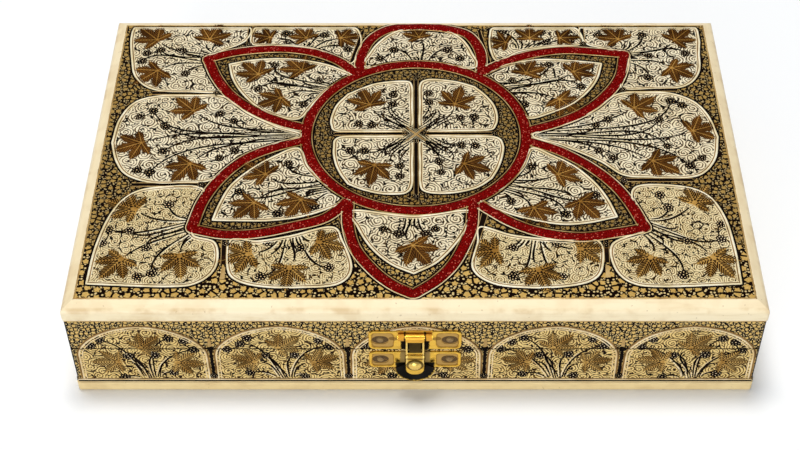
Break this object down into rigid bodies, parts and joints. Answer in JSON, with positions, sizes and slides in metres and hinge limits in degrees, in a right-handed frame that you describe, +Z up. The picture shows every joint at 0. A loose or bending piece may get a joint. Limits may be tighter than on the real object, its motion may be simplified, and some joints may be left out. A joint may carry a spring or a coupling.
{
  "type": "decorative box",
  "caption": "Low rectangular papier mache box with painted walls, a cream bevelled lid board, brass strap hasp, rear butt hinges and a velvet lining.",
  "frame": {"origin": "middle of the underside, which rests on the table", "axes": "+X along the front, from the left to the right of a person facing the latch; +Y from the latch to the hinges; +Z up"},
  "size_m": [0.3, 0.2001, 0.056],
  "materials": {
    "cream_lacquer": "cream paint under clear lacquer",
    "painted_board": "painted and gilded, clear lacquer",
    "velvet": "velvet over thin card",
    "brass": "polished, a little tarnished"
  },
  "bodies": {
    "base": {"base_board": "cream_lacquer", "base_wall_front": "painted_board", "base_wall_back": "painted_board", "base_wall_left": "painted_board", "base_wall_right": "painted_board", "base_floor_lining": "velvet", "base_lining_front": "velvet", "base_lining_back": "velvet", "base_lining_left": "velvet", "base_lining_right": "velvet", "hinge_left_base_leaf": "brass", "hinge_left_pin": "brass", "hinge_left_base_nails": "brass", "hinge_right_base_leaf": "brass", "hinge_right_pin": "brass", "hinge_right_base_nails": "brass", "latch_base_plate": "brass", "latch_base_plate_nails": "brass", "latch_catch": "brass"},
    "lid": {"lid_top_board": "cream_lacquer", "lid_wall_front": "painted_board", "lid_wall_back": "painted_board", "lid_wall_left": "painted_board", "lid_wall_right": "painted_board", "lid_top_lining": "velvet", "lid_lining_front": "velvet", "lid_lining_back": "velvet", "lid_lining_left": "velvet", "lid_lining_right": "velvet", "hinge_left_lid_leaf": "brass", "hinge_left_lid_nails": "brass", "hinge_right_lid_leaf": "brass", "hinge_right_lid_nails": "brass", "latch_lid_plate": "brass", "latch_lid_plate_nails": "brass", "latch_hasp_pin": "brass"},
    "hasp": {"latch_hasp": "brass"}
  },
  "joints": [
    {"name": "lid_hinge", "type": "hinge", "parent": "base", "child": "lid", "pos_m": [0, 0.0973, 0.0288], "axis": [-1, 0, 0], "range_deg": [0, 175]},
    {"name": "hasp_hinge", "type": "hinge", "parent": "lid", "child": "hasp", "pos_m": [0, -0.0982, 0.0396], "axis": [-1, 0, 0], "range_deg": [0, 160]}
  ]
}
